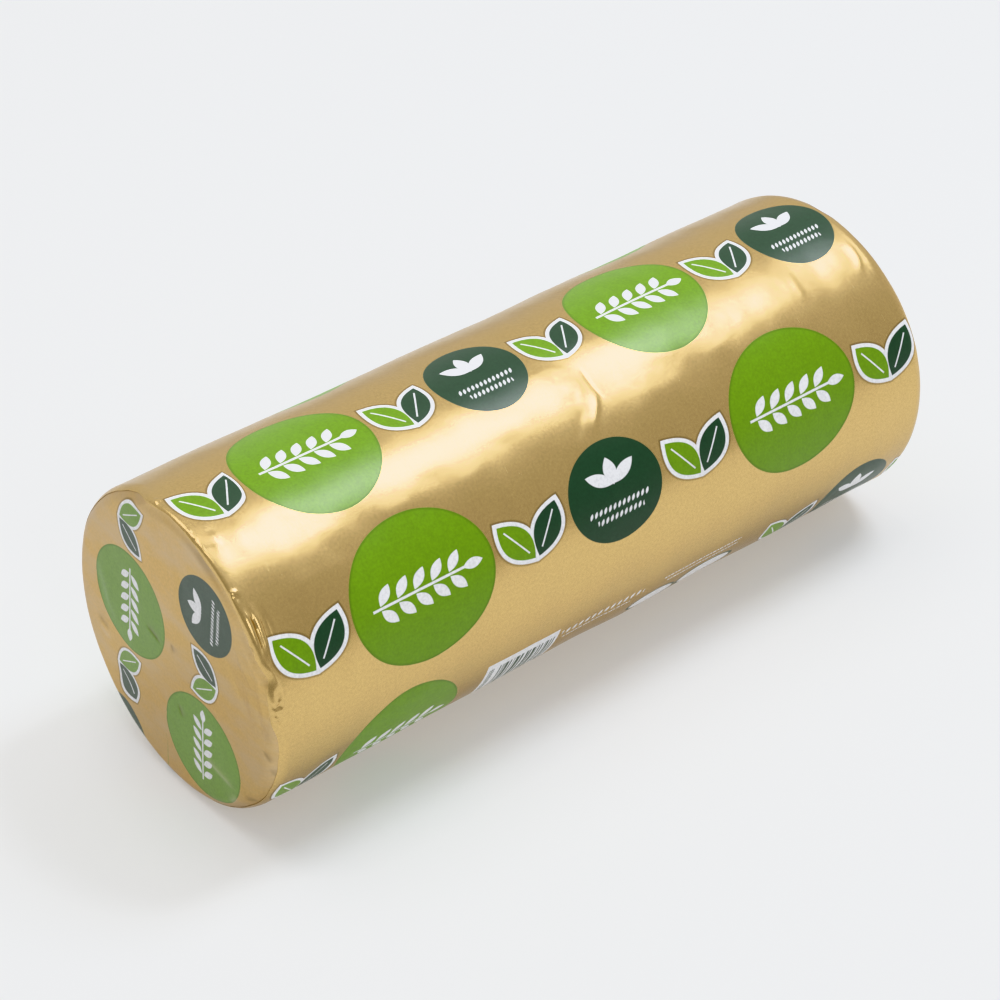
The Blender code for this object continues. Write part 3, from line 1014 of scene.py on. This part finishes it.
def printed_foil(name, gold, colours, roughness, coat, haze, row_height, panel_row=None):
    """Satin gold foil with the printed pattern. Haze, from 0 on, dulls the inks and smudges the foil, whose
    thin folds then get painted shade in their grooves and painted highlight on their ridges."""
    s = Sheet(name)
    along, around = s.uv("foil_plan")
    kinds = ("streaks", "broad", "crumple", "fine", "grain")
    streaks, broad, crumple, fine, grain = (foil_noise(s, along, around, kind) for kind in kinds)
    shade = s.add(0.5, s.swing(streaks, 0.16), s.swing(broad, 0.16), s.swing(fine, 0.16), s.swing(grain, 1.0))
    colour = s.mix(shade, scaled(gold, 0.84), scaled(gold, 1.16))
    if haze > 0:
        smear = foil_noise(s, along, around, "smear")
        smudge = s.held(s.times(s.take(smear, 0.42), 4.0))
        colour = s.mix(s.times(smudge, 7 * haze), colour, SMUDGE)

    mottle = s.add(0.5, s.swing(fine, 0.9), s.swing(broad, 0.5), s.swing(grain, 2.2))
    # The outline ink is the foil darkened: a printed outline that also paints a drop shadow round each leaf
    # pair.
    inks = {"outline": scaled(gold, 0.30), "rim": scaled(colours.light_green, 0.5)}
    for ink in ("light_green", "dark_green", "white"):
        dulled = [c + (INK_HAZE - c) * haze for c in getattr(colours, ink)]
        inks[ink] = s.mix(mottle, scaled(dulled, 0.88), scaled(dulled, 1.12))
    layers, inked = print_layers(s, row_height, panel_row, along)
    for mask, ink in layers:
        colour = s.mix(mask, colour, inks[ink])

    # Painted shade along the grooves of the thin folds and painted highlight along their ridges.
    if haze > 0:
        crease = s.put("ShaderNodeAttribute", attribute_name="crease").outputs["Fac"]
        for painted_tone, share in ((GROOVE_SHADE, GROOVE_SHADE_SHARE), (RIDGE_HIGHLIGHT, RIDGE_HIGHLIGHT_SHARE)):
            colour = s.mix(s.held(s.times(crease, share)), colour, painted_tone)

    # Heights in mm: hairlines, small creases, the soft crumple of thin foil, and grain.
    height = s.add(
        s.times(streaks, 0.0022), s.times(crumple, 0.085), s.times(fine, 0.012), s.times(grain, 0.005)
    )
    bare_roughness = s.add(roughness, s.swing(streaks, 0.10), s.swing(crumple, 0.08))
    bare = s.without(inked)
    return s.surface(
        Base_Color=colour,
        Metallic=bare,
        Roughness=s.blend(inked, bare_roughness, INK_ROUGHNESS),
        Coat_Weight=s.times(bare, coat),
        Coat_Roughness=0.42,
        Specular_IOR_Level=0.8,
        Specular_Tint=(0.76, 0.73, 0.70, 1.0),
        Normal=s.bump(height, 1.0, 1 * MM),
    )


def floor_paper(name):
    """Matte white sheet with a faint tooth, lit a little from below."""
    s = Sheet(name)
    place = s.put("ShaderNodeTexCoord").outputs["Object"]
    tooth = s.noise(place, 900.0, 3.0)
    cloud = s.noise(place, 3.0, 2.0)
    return s.surface(
        Base_Color=s.mix(cloud, (0.53, 0.53, 0.53), (0.55, 0.55, 0.55)),
        Roughness=0.85,
        Emission_Color=(1.0, 1.0, 1.0, 1.0),
        Emission_Strength=0.30,
        Normal=s.bump(tooth, 0.1, 0.1 * MM),
    )


# ---------------------------------------------------------------- operators


class MakeWrap(bpy.types.Operator):
    """Makes the printed foil wrap in place of the plain roll."""

    bl_idname = "butter_roll.make_wrap"
    bl_label = "Make foil wrap"

    def execute(self, context):
        shape, colours = context.scene.butter_roll_shape, context.scene.butter_roll_colours
        wrap = closed_skin("foil_wrap", *wrap_grid(shape))
        foil = printed_foil(
            "wrap_foil", colours.gold, colours,
            roughness=0.24, coat=0.4, haze=0.0, row_height=ROW_HEIGHT, panel_row=PANEL_ROW,
        )
        wrap.data.materials.append(foil)
        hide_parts("foil_roll")
        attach(wrap, BODY)
        return {"FINISHED"}


class MakeEndDiscs(bpy.types.Operator):
    """Makes the printed foil disc on each end."""

    bl_idname = "butter_roll.make_end_discs"
    bl_label = "Make end discs"

    def execute(self, context):
        shape, colours = context.scene.butter_roll_shape, context.scene.butter_roll_colours
        foil = printed_foil(
            "end_foil", colours.end_gold, colours,
            roughness=0.36, coat=0.3, haze=0.10, row_height=END_ROW_HEIGHT,
        )
        for side, node in ((-1, "end_disc_front"), (1, "end_disc_back")):
            disc = closed_skin(node.replace("disc", "foil"), *disc_grid(shape, side))
            disc.data.materials.append(foil)
            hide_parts(node)
            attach(disc, BODY)
        return {"FINISHED"}


# Round softboxes: place, diameter and colour.
SOFTBOXES = {
    "softbox": ((0.535, -0.09, 1.04), 0.40, (0.93, 1.0, 1.1)),
    "softbox_over": ((-0.18, 0.30, 1.14), 0.80, (1.0, 1.0, 1.0)),
    "softbox_front": ((-0.40, -0.83, 0.69), 0.22, (1.0, 1.0, 1.0)),
}
ROOM_LEVEL = 0.64  # light of the room from straight across
ROOM_SLOPE = (0.15, 0.18, 0.0)  # how much it grows with each part of the direction
CAMERA_STAND = (-10.5774, -12.2482, 11.4112)  # from the roll's middle, in radii
CAMERA_YAW, CAMERA_PITCH = math.radians(40.498), math.radians(-35.496)  # from +Y towards +X, and up


def aimed(place, direction, axis):
    """The pose at this place in which this axis points along the direction."""
    return Matrix.Translation(place) @ direction.to_track_quat(axis, "Y").to_matrix().to_4x4()


class SetStage(bpy.types.Operator):
    """Sets the floor, the lights and the camera."""

    bl_idname = "butter_roll.set_stage"
    bl_label = "Set the stage"

    def execute(self, context):
        studio, scene = context.scene.butter_roll_studio, context.scene
        self.lay_floor(scene)
        powers = {"softbox": studio.softbox, "softbox_over": studio.fill, "softbox_front": studio.front}
        for name, power in powers.items():
            self.hang_softbox(scene, name, power)
        scene.world = self.room("studio")
        self.set_camera(scene, studio.lens)
        scene.view_settings.view_transform = "Khronos PBR Neutral"
        return {"FINISHED"}

    def lay_floor(self, scene):
        """A flat sheet, 8 m wide."""
        mesh = bpy.data.meshes.new("floor")
        sheet = bmesh.new()
        bmesh.ops.create_grid(sheet, x_segments=1, y_segments=1, size=4.0)
        sheet.to_mesh(mesh)
        sheet.free()
        mesh.materials.append(floor_paper("floor_paper"))
        floor = bpy.data.objects.new("floor", mesh)
        scene.collection.objects.link(floor)

    def hang_softbox(self, scene, name, power):
        """A round softbox at its place, which faces the roll."""
        place, diameter, colour = SOFTBOXES[name]
        data = bpy.data.lights.new(name, "AREA")
        data.shape = "DISK"
        data.size = diameter
        data.energy = power
        data.color = colour
        lamp = bpy.data.objects.new(name, data)
        scene.collection.objects.link(lamp)
        lamp.matrix_world = aimed(Vector(place), Vector(place), "Z")

    def room(self, name):
        """A pale room: its light is the level plus the direction's dot product with the slope."""
        world = bpy.data.worlds.new(name)
        world.use_nodes = True
        tree = world.node_tree
        direction = tree.nodes.new("ShaderNodeTexCoord").outputs["Generated"]
        slope = tree.nodes.new("ShaderNodeVectorMath")
        slope.operation = "DOT_PRODUCT"
        slope.inputs[1].default_value = ROOM_SLOPE
        level = tree.nodes.new("ShaderNodeMath")
        level.inputs[1].default_value = ROOM_LEVEL
        tree.links.new(direction, slope.inputs[0])
        tree.links.new(slope.outputs["Value"], level.inputs[0])
        tree.links.new(level.outputs[0], tree.nodes["Background"].inputs["Strength"])
        tree.nodes["Background"].inputs["Color"].default_value = (1.0, 1.0, 1.0, 1.0)
        return world

    def set_camera(self, scene, focal_length):
        """The camera, which looks at the roll from above its better side and its -X end."""
        lens = bpy.data.cameras.new("camera")
        lens.sensor_width = 36.0
        lens.lens = focal_length
        lens.clip_start = 0.01
        lens.dof.use_dof = False
        camera = bpy.data.objects.new("camera", lens)
        scene.collection.objects.link(camera)
        level = math.cos(CAMERA_PITCH)
        forward = Vector((level * math.sin(CAMERA_YAW), level * math.cos(CAMERA_YAW), math.sin(CAMERA_PITCH)))
        full = scene.butter_roll_shape.diameter / 2
        stand = Vector((0.0, 0.0, full)) + Vector(CAMERA_STAND) * full
        camera.matrix_world = aimed(stand, forward, "-Z")
        scene.camera = camera


class StagePanel(bpy.types.Panel):
    """Lists the roll's pieces and the stage."""

    bl_idname = "VIEW3D_PT_butter_roll"
    bl_label = "Butter roll"
    bl_space_type = "VIEW_3D"
    bl_region_type = "UI"
    bl_category = "Butter roll"

    def draw(self, context):
        for operator in OPERATORS:
            self.layout.operator(operator.bl_idname)
        for group in ("butter_roll_shape", "butter_roll_colours", "butter_roll_studio"):
            settings = getattr(context.scene, group)
            for name in settings.__annotations__:
                self.layout.prop(settings, name)


OPERATORS = (MakeWrap, MakeEndDiscs, SetStage)
CLASSES = (RollShape, FoilColours, StudioSetup, *OPERATORS, StagePanel)


def register():
    """Registers the classes, and gives the scene their settings."""
    for cls in CLASSES:
        bpy.utils.register_class(cls)
    bpy.types.Scene.butter_roll_shape = PointerProperty(type=RollShape)
    bpy.types.Scene.butter_roll_colours = PointerProperty(type=FoilColours)
    bpy.types.Scene.butter_roll_studio = PointerProperty(type=StudioSetup)


def unregister():
    """Takes back what register does, in the other order."""
    del bpy.types.Scene.butter_roll_studio
    del bpy.types.Scene.butter_roll_colours
    del bpy.types.Scene.butter_roll_shape
    for cls in reversed(CLASSES):
        bpy.utils.unregister_class(cls)


def main():
    """Makes all the pieces and the stage."""
    register()
    bpy.ops.butter_roll.make_wrap()
    bpy.ops.butter_roll.make_end_discs()
    bpy.ops.butter_roll.set_stage()


if __name__ == "__main__":
    main()
